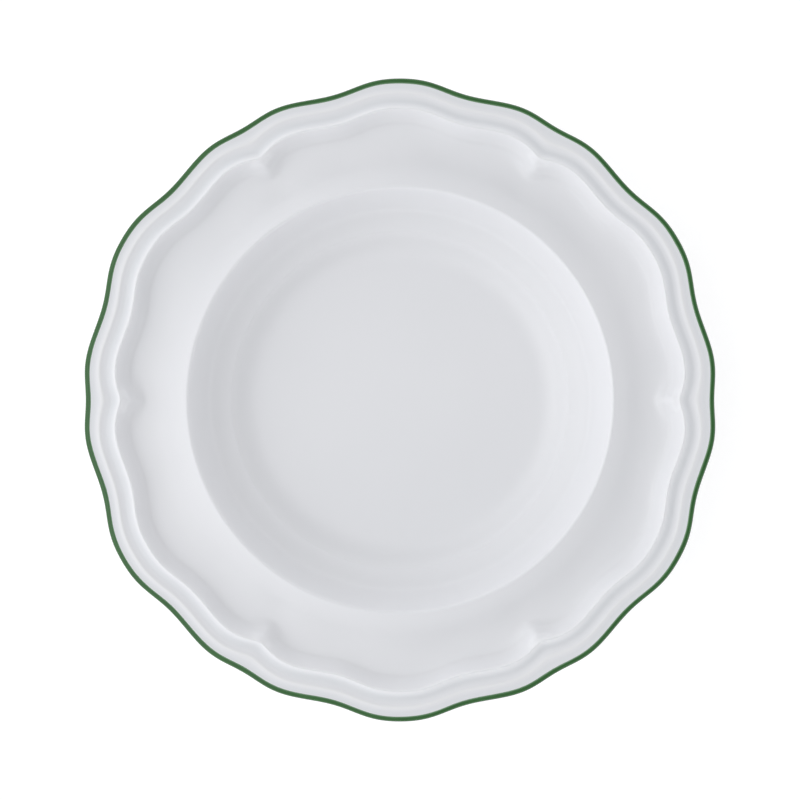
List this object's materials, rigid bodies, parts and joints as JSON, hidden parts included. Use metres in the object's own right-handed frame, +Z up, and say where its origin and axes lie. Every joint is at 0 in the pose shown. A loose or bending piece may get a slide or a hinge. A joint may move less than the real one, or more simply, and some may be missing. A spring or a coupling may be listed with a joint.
{
  "type": "soup plate",
  "caption": "Deep rimmed porcelain soup plate with a scalloped edge, a coved flange, a double bead, a green lip line and a bare foot ring, for serving soup.",
  "frame": {"origin": "centre of the foot ring, on the surface that the plate stands on", "axes": "+Z up through the middle of the plate; +X through one of the six pinches between the petals"},
  "size_m": [0.235, 0.2398, 0.028],
  "materials": {
    "glazed_porcelain": "clear glossy glaze over cool white porcelain",
    "bare_biscuit": "unglazed, ground flat and polished matt",
    "green_enamel": "banded on with a brush and fired glossy, slightly uneven in depth"
  },
  "bodies": {
    "root": {"porcelain_body": "glazed_porcelain", "foot_ring": "bare_biscuit", "green_rim_line": "green_enamel"}
  },
  "joints": []
}
